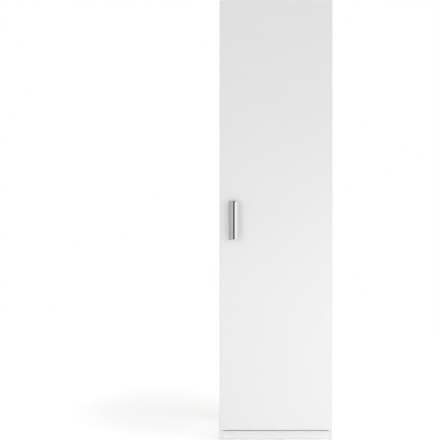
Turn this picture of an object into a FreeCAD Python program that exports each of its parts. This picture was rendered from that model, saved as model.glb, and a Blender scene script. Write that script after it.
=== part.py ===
import FreeCAD, Part
import math
import os

os.makedirs("parts", exist_ok=True)

# A tall broom cupboard: one full-height door on cup hinges at the right, a broom bay and shelves inside.
# Millimetres, +Z up, the front faces -Y, origin on the floor at the middle of the whole outline.

# Outside
WIDTH = 500.0
HEIGHT = 1950.0
DEPTH = 400.0

# Boards and edge bands
BOARD = 16.0
DOOR_BOARD = 16.0
BACK_BOARD = 3.0
BACK_INSET = 2.0
EDGE_BAND = 0.8
BAND_ROUND = 0.4

# Door
DOOR_GAP = 3.0
DOOR_REVEAL = 1.5
DOOR_FLOOR_HEIGHT = 45.5

# Base: the bottom panel's underside, and the plinth with a narrow gap over it
BASE_HEIGHT = 42.0
PLINTH_GAP = 3.6
PLINTH_SETBACK = 1.0
PLINTH_FLOOR_GAP = 0.5

# Inside
UPPER_ROOM = 300.0
SHELF_BAY_WIDTH = 180.0
INNER_SETBACK = 20.0
SMALL_SHELVES = 3
SHELF_PLAY = 0.6

# Fits: radial room round fixed pieces, room at the end of a hole, room round the turning pin
FIXED_FIT = 0.05
END_ROOM = 0.5
RUNNING_FIT = 0.05

# Cam locks, cam bolts and dowels that hold the level boards between the sides
CAM_RADIUS = 7.4
CAM_SKIN = 3.6
CAM_FROM_END = 34.0
CAM_INSET = 60.0
CAM_THROAT_RADIUS = 3.6
CAM_THROAT_PAST = 3.2
CAM_COVER_RADIUS = 8.6
CAM_COVER_HEIGHT = 1.0
CAM_COVER_ROUND = 0.5
BOLT_THREAD_RADIUS = 2.5
BOLT_THREAD_LENGTH = 10.5
BOLT_COLLAR_RADIUS = 3.6
BOLT_COLLAR_LENGTH = 1.5
BOLT_SHAFT_RADIUS = 2.2
BOLT_HEAD_RADIUS = 3.2
BOLT_HEAD_LENGTH = 3.0
BOLT_BORE_RADIUS = 4.0
DOWEL_RADIUS = 4.0
DOWEL_LENGTH = 30.0
DOWEL_IN_SIDE = 10.5
DOWEL_INSET = 28.0
DOWEL_CHAMFER = 1.0

# Screws that hold the partition from above and below
PARTITION_SCREW_RADIUS = 3.3
PARTITION_SCREW_LENGTH = 50.0
PARTITION_SCREW_HEAD_RADIUS = 5.0
PARTITION_SCREW_HEAD_HEIGHT = 4.0
PARTITION_SCREW_INSET = 70.0

# Cross recess in the screw heads and cams
CROSS_SPAN = 1.1
CROSS_SLOT = 0.28
CROSS_DEPTH = 1.1
HEAD_ROUND = 0.6

# Nails of the back panel
NAIL_RADIUS = 0.8
NAIL_LENGTH = 22.0
NAIL_HEAD_RADIUS = 2.0
NAIL_HEAD_HEIGHT = 0.8
NAIL_PITCH = 150.0
NAIL_END_INSET = 60.0

# Shelf pins and their hole rows
PIN_RADIUS = 2.5
PIN_IN = 8.0
PIN_OUT = 7.0
PIN_COLLAR_RADIUS = 4.0
PIN_COLLAR_LENGTH = 0.5
PIN_FLAT = 0.6
PIN_HOLE_DEPTH = 10.0
PIN_HOLE_PITCH = 32.0
PIN_HOLES_EACH_WAY = 2
PIN_ROW_INSET = 45.0

# Plinth corner blocks
BLOCK_SIDE = 20.0
BLOCK_HEIGHT = 30.0
BLOCK_SCREW_STEP = 9.0
BLOCK_SCREW_RADIUS = 1.9
BLOCK_SCREW_IN = 12.0
BLOCK_SCREW_HEAD_RADIUS = 3.8
BLOCK_SCREW_HEAD_HEIGHT = 2.2
BLOCK_ROUND = 2.0

# Floor glides
GLIDE_HEIGHT = 2.0
GLIDE_RADIUS = 7.0
GLIDE_ROUND = 0.6
GLIDE_NAIL_RADIUS = 1.0
GLIDE_NAIL_LENGTH = 14.0
GLIDE_INSET = 30.0

# Wall bracket on the top
BRACKET_THICK = 2.0
BRACKET_WIDTH = 22.0
BRACKET_FOOT = 42.0
BRACKET_RISE = 26.0
BRACKET_FROM_MIDDLE = 150.0
BRACKET_BEND = 2.5
BRACKET_ROUND = 4.0
BRACKET_HOLE_RADIUS = 2.75
BRACKET_HOLE_BELOW_TOP = 9.0
BRACKET_SCREW_RADIUS = 1.9
BRACKET_SCREW_IN = 12.0
BRACKET_SCREW_HEAD_RADIUS = 3.8
BRACKET_SCREW_HEAD_HEIGHT = 2.2
BRACKET_SCREW_INSET = 9.0
BRACKET_SCREW_STEP = 16.0

# Handle
HANDLE_LENGTH = 175.0
HANDLE_WIDTH = 44.0
HANDLE_REACH = 28.0
HANDLE_THICK = 10.0
HANDLE_CROWN = 7.0
HANDLE_FOOT = 15.0
HANDLE_BEND = 8.0
HANDLE_INNER_BEND = 4.0
HANDLE_CORNER = 3.0
HANDLE_SOFT = 1.2
HANDLE_HOLES = 160.0
HANDLE_FROM_EDGE = 60.6
HANDLE_MIDDLE = 973.0
HANDLE_SCREW_RADIUS = 1.95
HANDLE_SCREW_IN = 10.0
HANDLE_SCREW_HEAD_RADIUS = 4.2
HANDLE_SCREW_HEAD_HEIGHT = 2.0

# Door buffers
BUFFER_RADIUS = 4.5
BUFFER_SPARE = 0.3
BUFFER_ROUND = 1.2
BUFFER_INSET = 60.0

# Cup hinges: the axis sits inside the cup, the arm hooks round the door's edge
HINGES = 4
HINGE_INSET = 100.0
AXIS_FROM_EDGE = 6.5
AXIS_SINK = 7.0
CUP_FROM_EDGE = 3.0
CUP_RADIUS = 17.5
CUP_DEPTH = 12.2
CUP_WALL = 1.0
CUP_FLANGE = 1.0
CUP_FLANGE_RADIUS = 18.6
CUP_WING_RADIUS = 6.0
CUP_SCREW_SPREAD = 45.0
CUP_SCREW_BACK = 9.5
CUP_SCREW_RADIUS = 1.7
CUP_SCREW_IN = 11.0
CUP_SCREW_HEAD_RADIUS = 3.6
CUP_SCREW_HEAD_HEIGHT = 1.2
HINGE_PIN_RADIUS = 1.5
HINGE_PIN_LENGTH = 15.2
LUG_HALF = 2.6
LUG_FROM_MIDDLE = 5.5
EYE_RADIUS = 2.2
EYE_ROOM = 0.25
ARM_THICK = 2.4
ARM_NECK_WIDTH = 10.0
ARM_WIDTH = 14.0
ARM_DIP = 15.0
ARM_BEND = 5.5
ARM_LENGTH = 58.0
ARM_WIDE_FROM = 3.0
ARM_FLANGE = 4.0
ARM_FLANGE_THICK = 1.4
ARM_ROUND = 1.0
ARM_SCREW_RADIUS = 2.3
ARM_SCREW_HEAD_RADIUS = 3.9
ARM_SCREW_HEAD_HEIGHT = 2.0
ARM_ADJUST_FROM = 22.0
ARM_FIX_FROM = 50.0
PLATE_HEIGHT = 4.3
PLATE_FROM = 8.0
PLATE_END_PAST_ARM = 3.0
PLATE_WING_THICK = 2.0
PLATE_WING_WIDTH = 14.0
PLATE_WING_SPAN = 46.0
PLATE_SCREW_FROM = 37.0
PLATE_SCREW_SPREAD = 32.0
PLATE_ROUND = 4.0
PLATE_SCREW_RADIUS = 2.45
PLATE_SCREW_IN = 11.0
PLATE_SCREW_HEAD_RADIUS = 3.8
PLATE_SCREW_HEAD_HEIGHT = 1.6
SPRING_THICK = 0.6
SPRING_WIDTH = 6.0
SPRING_LENGTH = 19.0
SPRING_BEAD = 0.6

Vector = FreeCAD.Vector
X = Vector(1, 0, 0)
Y = Vector(0, 1, 0)
Z = Vector(0, 0, 1)

# Planes that the pieces share
side_out = WIDTH / 2
side_in = side_out - BOARD
back_out = (DEPTH + HANDLE_REACH) / 2
back_in = back_out - BACK_BOARD
door_front = back_out - DEPTH
door_back = door_front + DOOR_BOARD
carcass_front = door_back + DOOR_GAP
board_front = carcass_front + EDGE_BAND
inner_front = carcass_front + INNER_SETBACK
inner_board_front = inner_front + EDGE_BAND
top_under = HEIGHT - BOARD
floor_top = BASE_HEIGHT + BOARD
shelf_top = top_under - UPPER_ROOM
shelf_under = shelf_top - BOARD
bay_left = -side_in
bay_right = bay_left + SHELF_BAY_WIDTH
partition_right = bay_right + BOARD
door_left = -side_out + DOOR_REVEAL
door_right = side_out - DOOR_REVEAL
door_top = HEIGHT - DOOR_REVEAL
door_under = DOOR_FLOOR_HEIGHT
plinth_front = carcass_front + PLINTH_SETBACK
plinth_back = plinth_front + BOARD
plinth_top = BASE_HEIGHT - PLINTH_GAP
axis_x = door_right - AXIS_FROM_EDGE
axis_y = door_back - AXIS_SINK


def block(x0, x1, y0, y1, z0, z1):
    return Part.makeBox(x1 - x0, y1 - y0, z1 - z0, Vector(x0, y0, z0))


def rod(radius, start, direction, length):
    return Part.makeCylinder(radius, length, start, direction)


def fused(shapes):
    return shapes[0].multiFuse(shapes[1:]).removeSplitter()


def edges_along(shape, direction, keep):
    found = []
    for edge in shape.Edges:
        if edge.Curve.TypeId != "Part::GeomLine":
            continue
        first, last = edge.Vertexes[0].Point, edge.Vertexes[-1].Point
        along = (last - first).normalize()
        if abs(abs(along.dot(direction)) - 1) < Part.Precision.confusion() and keep(edge.CenterOfMass):
            found.append(edge)
    return found


def rounded(shape, direction, radius, keep=lambda point: True):
    return shape.makeFillet(radius, edges_along(shape, direction, keep))


def cross_recess(at, into, head_radius):
    span = head_radius * CROSS_SPAN
    slot = head_radius * CROSS_SLOT
    bar = Part.makeBox(span, slot, CROSS_DEPTH, Vector(-span / 2, -slot / 2, 0))
    turned = Part.makeBox(slot, span, CROSS_DEPTH, Vector(-slot / 2, -span / 2, 0))
    cross = bar.fuse(turned)
    cross.Placement = FreeCAD.Placement(at, FreeCAD.Rotation(Z, into))
    return cross


def pan_screw(at, into, radius, length, head_radius, head_height):
    crown = at - into * head_height
    head = rod(head_radius, crown, into, head_height)
    rim = [e for e in head.Edges if e.CenterOfMass.isEqual(crown, Part.Precision.confusion())]
    head = head.makeFillet(HEAD_ROUND, rim)
    shank = rod(radius, at, into, length)
    return fused([head, shank]).cut(cross_recess(crown, into, head_radius))


# Boards, with the holes that each one is drilled with
boards = {
    "left_side_panel": block(-side_out, -side_in, board_front, back_in, GLIDE_HEIGHT, HEIGHT),
    "right_side_panel": block(side_in, side_out, board_front, back_in, GLIDE_HEIGHT, HEIGHT),
    "top_panel": block(-side_in, side_in, board_front, back_in, top_under, HEIGHT),
    "bottom_panel": block(-side_in, side_in, board_front, back_in, BASE_HEIGHT, floor_top),
    "fixed_shelf": block(-side_in, side_in, inner_board_front, back_in, shelf_under, shelf_top),
    "partition": block(bay_right, partition_right, inner_board_front, back_in, floor_top, shelf_under),
    "plinth_board": block(-side_in, side_in, plinth_front, plinth_back, PLINTH_FLOOR_GAP, plinth_top),
    "back_panel": block(
        -side_out + BACK_INSET, side_out - BACK_INSET, back_in, back_out, BASE_HEIGHT, HEIGHT - BACK_INSET
    ),
    "door_panel": block(
        door_left + EDGE_BAND, door_right - EDGE_BAND, door_front, door_back,
        door_under + EDGE_BAND, door_top - EDGE_BAND,
    ),
}
holes = {name: [] for name in boards}


def drill(board, radius, start, direction, length):
    holes[board].append(rod(radius + FIXED_FIT, start, direction, length + END_ROOM))


# Edge bands
def band(x0, x1, front, z0, z1, long_axis):
    strip = block(x0, x1, front, front + EDGE_BAND, z0, z1)
    return rounded(strip, long_axis, BAND_ROUND, lambda point: point.y < front + EDGE_BAND / 2)


carcass_edge_bands = [
    band(-side_out, -side_in, carcass_front, GLIDE_HEIGHT, HEIGHT, Z),
    band(side_in, side_out, carcass_front, GLIDE_HEIGHT, HEIGHT, Z),
    band(-side_in, side_in, carcass_front, top_under, HEIGHT, X),
    band(-side_in, side_in, carcass_front, BASE_HEIGHT, floor_top, X),
    band(-side_in, side_in, inner_front, shelf_under, shelf_top, X),
    band(bay_right, partition_right, inner_front, floor_top, shelf_under, Z),
]


def door_band(x0, x1, z0, z1, long_axis, outside):
    strip = block(x0, x1, door_front, door_back, z0, z1)
    return rounded(strip, long_axis, BAND_ROUND, outside)


door_edge_bands = [
    door_band(
        door_left, door_left + EDGE_BAND, door_under, door_top, Z,
        lambda p: p.x < door_left + EDGE_BAND / 2,
    ),
    door_band(
        door_right - EDGE_BAND, door_right, door_under, door_top, Z,
        lambda p: p.x > door_right - EDGE_BAND / 2,
    ),
    door_band(
        door_left + EDGE_BAND, door_right - EDGE_BAND, door_under, door_under + EDGE_BAND, X,
        lambda p: p.z < door_under + EDGE_BAND / 2,
    ),
    door_band(
        door_left + EDGE_BAND, door_right - EDGE_BAND, door_top - EDGE_BAND, door_top, X,
        lambda p: p.z > door_top - EDGE_BAND / 2,
    ),
]

# Cam locks, bolts and dowels between the level boards and the sides
cam_locks = []
cam_bolts = []
cam_covers = []
dowels = []
cam_depth = BOARD - CAM_SKIN


def cam_joint(board, side, at, outward, face, into):
    inward = outward * -1
    bolt = [
        rod(BOLT_THREAD_RADIUS, at, outward, BOLT_THREAD_LENGTH),
        rod(BOLT_COLLAR_RADIUS, at, inward, BOLT_COLLAR_LENGTH),
        rod(BOLT_SHAFT_RADIUS, at, inward, CAM_FROM_END),
        rod(
            BOLT_HEAD_RADIUS, at + inward * (CAM_FROM_END - BOLT_HEAD_LENGTH / 2), inward,
            BOLT_HEAD_LENGTH,
        ),
    ]
    cam_bolts.append(fused(bolt))
    drill(side, BOLT_THREAD_RADIUS, at, outward, BOLT_THREAD_LENGTH)
    drill(board, BOLT_BORE_RADIUS, at, inward, CAM_FROM_END)
    centre = at + inward * CAM_FROM_END
    seat = Vector(centre.x, centre.y, face)
    throat = rod(
        CAM_THROAT_RADIUS, centre + outward * CAM_RADIUS, inward, CAM_RADIUS + CAM_THROAT_PAST
    )
    cam = rod(CAM_RADIUS, seat, into, cam_depth).cut(throat).cut(cross_recess(seat, into, CAM_RADIUS))
    cam_locks.append(cam)
    drill(board, CAM_RADIUS, seat, into, cam_depth)
    return seat


def cam_cover(seat):
    cap = rod(CAM_COVER_RADIUS, seat, Z, CAM_COVER_HEIGHT)
    rim = [e for e in cap.Edges if e.CenterOfMass.z > seat.z + CAM_COVER_HEIGHT / 2 and e.Closed]
    cam_covers.append(cap.makeFillet(CAM_COVER_ROUND, rim[:1]))


def dowel_joint(board, side, at, outward):
    inward = outward * -1
    pin = rod(DOWEL_RADIUS, at + outward * DOWEL_IN_SIDE, inward, DOWEL_LENGTH)
    ends = [e for e in pin.Edges if e.Curve.TypeId == "Part::GeomCircle"]
    dowels.append(pin.makeChamfer(DOWEL_CHAMFER, ends))
    drill(side, DOWEL_RADIUS, at, outward, DOWEL_IN_SIDE)
    drill(board, DOWEL_RADIUS, at, inward, DOWEL_LENGTH - DOWEL_IN_SIDE)


def join_level_board(board, front, under, face, into, covered):
    middle = under + BOARD / 2
    for side, sign in (("left_side_panel", -1), ("right_side_panel", 1)):
        for y in (front + CAM_INSET, back_in - CAM_INSET):
            seat = cam_joint(board, side, Vector(sign * side_in, y, middle), X * sign, face, into)
            if covered:
                cam_cover(seat)
        for y in (front + DOWEL_INSET, back_in - DOWEL_INSET):
            dowel_joint(board, side, Vector(sign * side_in, y, middle), X * sign)


join_level_board("top_panel", board_front, top_under, HEIGHT, Z * -1, True)
join_level_board("fixed_shelf", inner_board_front, shelf_under, shelf_top, Z * -1, True)
join_level_board("bottom_panel", board_front, BASE_HEIGHT, BASE_HEIGHT, Z, False)

# Screws that hold the partition
partition_screws = []
partition_middle = (bay_right + partition_right) / 2


def partition_screw(board, at, into):
    head = Part.makeCone(
        PARTITION_SCREW_HEAD_RADIUS, PARTITION_SCREW_RADIUS, PARTITION_SCREW_HEAD_HEIGHT, at, into
    )
    shank = rod(PARTITION_SCREW_RADIUS, at, into, PARTITION_SCREW_LENGTH)
    recess = cross_recess(at, into, PARTITION_SCREW_HEAD_RADIUS)
    partition_screws.append(fused([head, shank]).cut(recess))
    drill(board, PARTITION_SCREW_RADIUS, at, into, BOARD)
    drill("partition", PARTITION_SCREW_RADIUS, at + into * BOARD, into, PARTITION_SCREW_LENGTH - BOARD)
    holes[board].append(
        Part.makeCone(
            PARTITION_SCREW_HEAD_RADIUS + FIXED_FIT, PARTITION_SCREW_RADIUS + FIXED_FIT,
            PARTITION_SCREW_HEAD_HEIGHT, at, into,
        )
    )


for y in (inner_board_front + PARTITION_SCREW_INSET, back_in - PARTITION_SCREW_INSET):
    partition_screw("fixed_shelf", Vector(partition_middle, y, shelf_top), Z * -1)
    partition_screw("bottom_panel", Vector(partition_middle, y, BASE_HEIGHT), Z)

# Nails that hold the back panel
back_panel_nails = []


def spread(first, last, pitch):
    steps = max(1, round((last - first) / pitch))
    return [first + (last - first) * i / steps for i in range(steps + 1)]


def nail(board, x, z):
    at = Vector(x, back_out, z)
    into = Y * -1
    head = rod(NAIL_HEAD_RADIUS, at, into, NAIL_HEAD_HEIGHT)
    back_panel_nails.append(fused([head, rod(NAIL_RADIUS, at, into, NAIL_LENGTH)]))
    holes["back_panel"].append(rod(NAIL_HEAD_RADIUS + FIXED_FIT, at, into, NAIL_HEAD_HEIGHT))
    drill("back_panel", NAIL_RADIUS, at, into, BACK_BOARD)
    drill(board, NAIL_RADIUS, Vector(x, back_in, z), into, NAIL_LENGTH - BACK_BOARD)


side_middle = side_out - BOARD / 2
for z in spread(BASE_HEIGHT + NAIL_END_INSET, HEIGHT - NAIL_END_INSET, NAIL_PITCH):
    nail("left_side_panel", -side_middle, z)
    nail("right_side_panel", side_middle, z)
for z in spread(floor_top + NAIL_END_INSET, shelf_under - NAIL_END_INSET, NAIL_PITCH * 2):
    nail("partition", partition_middle, z)
board_unders = {"top_panel": top_under, "bottom_panel": BASE_HEIGHT, "fixed_shelf": shelf_under}
for board, under in board_unders.items():
    for x in spread(-side_in + NAIL_END_INSET, side_in - NAIL_END_INSET, NAIL_PITCH):
        nail(board, x, under + BOARD / 2)

# Small shelves in the narrow bay, on pins in two rows of holes each side
shelf_edge_bands = []
shelf_pins = []
small_shelves = {}
shelf_step = (shelf_under - floor_top) / (SMALL_SHELVES + 1)
pin_rows = (inner_board_front + PIN_ROW_INSET, back_in - PIN_ROW_INSET)
pin_walls = (("left_side_panel", bay_left, X), ("partition", bay_right, X * -1))


def shelf_pin(wall_at, inward):
    collar = rod(PIN_COLLAR_RADIUS, wall_at, inward, PIN_COLLAR_LENGTH)
    stem = rod(PIN_RADIUS, wall_at - inward * PIN_IN, inward, PIN_IN + PIN_OUT)
    trim = block(
        wall_at.x - PIN_OUT, wall_at.x + PIN_OUT,
        wall_at.y - PIN_COLLAR_RADIUS, wall_at.y + PIN_COLLAR_RADIUS,
        wall_at.z + PIN_RADIUS - PIN_FLAT, wall_at.z + PIN_COLLAR_RADIUS,
    )
    in_room = block(
        bay_left, bay_right, wall_at.y - PIN_COLLAR_RADIUS, wall_at.y + PIN_COLLAR_RADIUS,
        wall_at.z - PIN_COLLAR_RADIUS, wall_at.z + PIN_COLLAR_RADIUS,
    )
    return fused([collar, stem]).cut(trim.common(in_room))


for number in range(1, SMALL_SHELVES + 1):
    pin_z = floor_top + shelf_step * number
    seat_z = pin_z + PIN_RADIUS - PIN_FLAT
    ends = (bay_left + SHELF_PLAY, bay_right - SHELF_PLAY)
    shelf = block(ends[0], ends[1], inner_board_front, back_in, seat_z, seat_z + BOARD)
    small_shelves[f"small_shelf_{number}"] = shelf
    shelf_edge_bands.append(band(ends[0], ends[1], inner_front, seat_z, seat_z + BOARD, X))
    for y in pin_rows:
        for wall, wall_x, inward in pin_walls:
            shelf_pins.append(shelf_pin(Vector(wall_x, y, pin_z), inward))
            for step in range(-PIN_HOLES_EACH_WAY, PIN_HOLES_EACH_WAY + 1):
                at = Vector(wall_x, y, pin_z + step * PIN_HOLE_PITCH)
                drill(wall, PIN_RADIUS, at, inward * -1, PIN_HOLE_DEPTH - END_ROOM)

# Corner blocks behind the plinth
plinth_blocks = []
plinth_block_screws = []
block_top = plinth_top
block_middle = block_top - BLOCK_HEIGHT / 2
for side, sign in (("left_side_panel", -1), ("right_side_panel", 1)):
    wall = sign * side_in
    near, far = sorted((wall, wall - sign * BLOCK_SIDE))
    corner = block(near, far, plinth_back, plinth_back + BLOCK_SIDE, block_top - BLOCK_HEIGHT, block_top)
    free_x = wall - sign * BLOCK_SIDE
    corner = rounded(
        corner, Z, BLOCK_ROUND,
        lambda p: abs(p.x - free_x) < BLOCK_ROUND and p.y > plinth_back + BLOCK_ROUND,
    )
    runs = (
        (side, Vector(free_x, plinth_back + BLOCK_SIDE / 2, block_middle + BLOCK_SCREW_STEP), X * sign),
        (
            "plinth_board",
            Vector(wall - sign * BLOCK_SIDE / 2, plinth_back + BLOCK_SIDE, block_middle - BLOCK_SCREW_STEP),
            Y * -1,
        ),
    )
    for board, at, into in runs:
        length = BLOCK_SIDE + BLOCK_SCREW_IN
        plinth_block_screws.append(
            pan_screw(
                at, into, BLOCK_SCREW_RADIUS, length, BLOCK_SCREW_HEAD_RADIUS, BLOCK_SCREW_HEAD_HEIGHT
            )
        )
        corner = corner.cut(rod(BLOCK_SCREW_RADIUS + FIXED_FIT, at, into, BLOCK_SIDE))
        drill(board, BLOCK_SCREW_RADIUS, at + into * BLOCK_SIDE, into, BLOCK_SCREW_IN)
    plinth_blocks.append(corner)

# Floor glides under the sides
floor_glides = []
for side, x in (("left_side_panel", -side_middle), ("right_side_panel", side_middle)):
    for y in (board_front + GLIDE_INSET, back_in - GLIDE_INSET):
        foot = rod(GLIDE_RADIUS, Vector(x, y, 0), Z, GLIDE_HEIGHT)
        rim = [e for e in foot.Edges if e.Closed and e.CenterOfMass.z < GLIDE_HEIGHT / 2]
        foot = foot.makeFillet(GLIDE_ROUND, [e for e in rim if e.Curve.TypeId == "Part::GeomCircle"])
        spike = rod(GLIDE_NAIL_RADIUS, Vector(x, y, GLIDE_HEIGHT), Z, GLIDE_NAIL_LENGTH)
        floor_glides.append(fused([foot, spike]))
        drill(side, GLIDE_NAIL_RADIUS, Vector(x, y, GLIDE_HEIGHT), Z, GLIDE_NAIL_LENGTH)

# Wall bracket on the top panel
bracket_half = BRACKET_WIDTH / 2
bracket_x0 = BRACKET_FROM_MIDDLE - bracket_half
bracket_x1 = BRACKET_FROM_MIDDLE + bracket_half
bracket_front = back_out - BRACKET_FOOT
bracket_top = HEIGHT + BRACKET_RISE
foot = block(bracket_x0, bracket_x1, bracket_front, back_out, HEIGHT, HEIGHT + BRACKET_THICK)
foot = rounded(foot, Z, BRACKET_ROUND, lambda p: p.y < bracket_front + BRACKET_ROUND)
riser = block(bracket_x0, bracket_x1, back_out - BRACKET_THICK, back_out, HEIGHT, bracket_top)
riser = rounded(riser, Y, BRACKET_ROUND, lambda p: p.z > bracket_top - BRACKET_ROUND)
wall_bracket = fused([foot, riser])
wall_bracket = rounded(
    wall_bracket, X, BRACKET_BEND,
    lambda p: math.hypot(p.y - (back_out - BRACKET_THICK), p.z - (HEIGHT + BRACKET_THICK)) < BAND_ROUND,
)
wall_hole = Vector(BRACKET_FROM_MIDDLE, back_out, bracket_top - BRACKET_HOLE_BELOW_TOP)
wall_bracket = wall_bracket.cut(rod(BRACKET_HOLE_RADIUS, wall_hole, Y * -1, BRACKET_THICK))
wall_bracket_screws = []
for y in (bracket_front + BRACKET_SCREW_INSET, bracket_front + BRACKET_SCREW_INSET + BRACKET_SCREW_STEP):
    at = Vector(BRACKET_FROM_MIDDLE, y, HEIGHT + BRACKET_THICK)
    length = BRACKET_THICK + BRACKET_SCREW_IN
    wall_bracket_screws.append(
        pan_screw(
            at, Z * -1, BRACKET_SCREW_RADIUS, length, BRACKET_SCREW_HEAD_RADIUS, BRACKET_SCREW_HEAD_HEIGHT
        )
    )
    wall_bracket = wall_bracket.cut(rod(BRACKET_SCREW_RADIUS + FIXED_FIT, at, Z * -1, BRACKET_THICK))
    drill("top_panel", BRACKET_SCREW_RADIUS, at - Z * BRACKET_THICK, Z * -1, BRACKET_SCREW_IN)

# Handle: a straight crowned bar whose ends turn back to the door
handle_x = door_left + HANDLE_FROM_EDGE
handle_front = door_front - HANDLE_REACH
handle_half = HANDLE_WIDTH / 2
handle_low = HANDLE_MIDDLE - HANDLE_LENGTH / 2
handle_high = HANDLE_MIDDLE + HANDLE_LENGTH / 2
bar_back = handle_front + HANDLE_THICK
handle_room = block(
    handle_x - handle_half, handle_x + handle_half, handle_front, door_front, handle_low, handle_high
)
bow = rounded(handle_room, X, HANDLE_BEND, lambda p: p.y < handle_front + HANDLE_BEND)
grip_room = block(
    handle_x - HANDLE_WIDTH, handle_x + HANDLE_WIDTH, bar_back, door_front,
    handle_low + HANDLE_FOOT, handle_high - HANDLE_FOOT,
)
grip_room = rounded(grip_room, X, HANDLE_INNER_BEND, lambda p: p.y < bar_back + HANDLE_INNER_BEND)
crown_edge = handle_front + HANDLE_CROWN
left_edge = Vector(handle_x - handle_half, crown_edge, handle_low)
right_edge = Vector(handle_x + handle_half, crown_edge, handle_low)
left_door = Vector(handle_x - handle_half, door_front, handle_low)
right_door = Vector(handle_x + handle_half, door_front, handle_low)
crown_arc = Part.Arc(left_edge, Vector(handle_x, handle_front, handle_low), right_edge).toShape()
section = Part.Wire(
    [
        crown_arc,
        Part.makeLine(right_edge, right_door),
        Part.makeLine(right_door, left_door),
        Part.makeLine(left_door, left_edge),
    ]
)
crowned = rounded(
    Part.Face(section).extrude(Z * HANDLE_LENGTH), Z, HANDLE_SOFT, lambda p: p.y < crown_edge + HANDLE_SOFT
)
outline = rounded(handle_room, Y, HANDLE_CORNER)
handle = bow.common(crowned).common(outline).cut(grip_room).removeSplitter()
handle_screws = []
for z in (HANDLE_MIDDLE - HANDLE_HOLES / 2, HANDLE_MIDDLE + HANDLE_HOLES / 2):
    at = Vector(handle_x, door_back, z)
    length = DOOR_BOARD + HANDLE_SCREW_IN
    handle_screws.append(
        pan_screw(
            at, Y * -1, HANDLE_SCREW_RADIUS, length, HANDLE_SCREW_HEAD_RADIUS, HANDLE_SCREW_HEAD_HEIGHT
        )
    )
    drill("door_panel", HANDLE_SCREW_RADIUS, at, Y * -1, DOOR_BOARD)
    foot_face = Vector(handle_x, door_front, z)
    handle = handle.cut(
        rod(HANDLE_SCREW_RADIUS + FIXED_FIT, foot_face, Y * -1, HANDLE_SCREW_IN + END_ROOM)
    )

# Soft buffers inside the door, over the left side's front edge
door_buffers = []
buffer_height = DOOR_GAP - BUFFER_SPARE
for z in (door_under + BUFFER_INSET, HANDLE_MIDDLE, door_top - BUFFER_INSET):
    dome = rod(BUFFER_RADIUS, Vector(-side_middle, door_back, z), Y, buffer_height)
    circles = [e for e in dome.Edges if e.Curve.TypeId == "Part::GeomCircle"]
    rim = [e for e in circles if e.CenterOfMass.y > door_back + BUFFER_ROUND]
    door_buffers.append(dome.makeFillet(BUFFER_ROUND, rim))

# Cup hinges
cup_x = door_right - CUP_FROM_EDGE - CUP_RADIUS
cup_floor = door_back - CUP_DEPTH + CUP_WALL
flange_top = door_back + CUP_FLANGE
arm_face = side_in - PLATE_HEIGHT
arm_x = arm_face - ARM_THICK / 2
arm_inner = arm_face - ARM_THICK
dip = math.radians(ARM_DIP)
bend_reach = ARM_BEND * (1 + math.sin(dip))
neck_length = (axis_x - arm_x - bend_reach) / math.cos(dip)
bend_start = Vector(axis_x - neck_length * math.cos(dip), axis_y - neck_length * math.sin(dip), 0)
bend_centre = bend_start + Vector(-math.sin(dip), math.cos(dip), 0) * ARM_BEND
arm_back = carcass_front + ARM_LENGTH
wide_front = carcass_front + ARM_WIDE_FROM
plate_front = carcass_front + PLATE_FROM
plate_back = arm_back + PLATE_END_PAST_ARM
arm_screw_places = (carcass_front + ARM_ADJUST_FROM, carcass_front + ARM_FIX_FROM)
plate_screw_y = carcass_front + PLATE_SCREW_FROM
hinge_pins = []
hinge_springs = []
hinge_cup_screws = []
hinge_plate_screws = []
hinge_arm_screws = []
hinge_pieces = {}


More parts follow.
